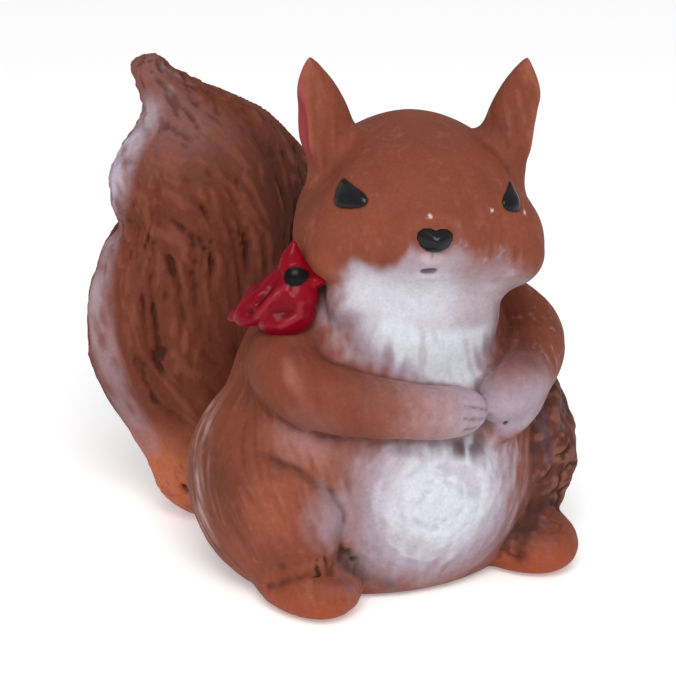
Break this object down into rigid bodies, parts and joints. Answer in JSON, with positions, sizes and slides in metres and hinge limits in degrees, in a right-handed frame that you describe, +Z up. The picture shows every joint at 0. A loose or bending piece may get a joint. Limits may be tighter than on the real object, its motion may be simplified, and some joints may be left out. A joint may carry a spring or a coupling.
{
  "type": "squirrel figurine",
  "caption": "Seated squirrel ornament with a broad upright tail and a small bird on its shoulder, standing free on a felt pad.",
  "frame": {"origin": "on the underside of the felt pad, on the axis of the torso", "axes": "+Z up, -Y the way the body faces, +X the squirrel's own left"},
  "size_m": [0.0794, 0.0931, 0.0989],
  "materials": {
    "painted_resin": "matt hand-painted red-brown, fading to white on muzzle, chest and belly",
    "bead_black": "gloss black",
    "bird_red": "gloss red with a black patch round the beak",
    "bare_resin": "unpainted, sanded",
    "felt": "pressed felt",
    "dowel_wood": "bare turned hardwood",
    "pin_wire": "cut wire"
  },
  "bodies": {
    "root": {"torso_shell": "painted_resin", "head": "painted_resin", "left_ear": "painted_resin", "right_ear": "painted_resin", "left_hind_leg": "painted_resin", "right_hind_leg": "painted_resin", "left_arm": "painted_resin", "right_arm": "painted_resin", "tail": "painted_resin", "left_eye": "bead_black", "right_eye": "bead_black", "nose": "bead_black", "bird": "bird_red", "base_plug": "bare_resin", "felt_pad": "felt", "neck_dowel": "dowel_wood", "tail_dowels": "dowel_wood", "ear_pins": "pin_wire", "leg_pins": "pin_wire", "arm_pins": "pin_wire", "bird_pin": "pin_wire"}
  },
  "joints": []
}
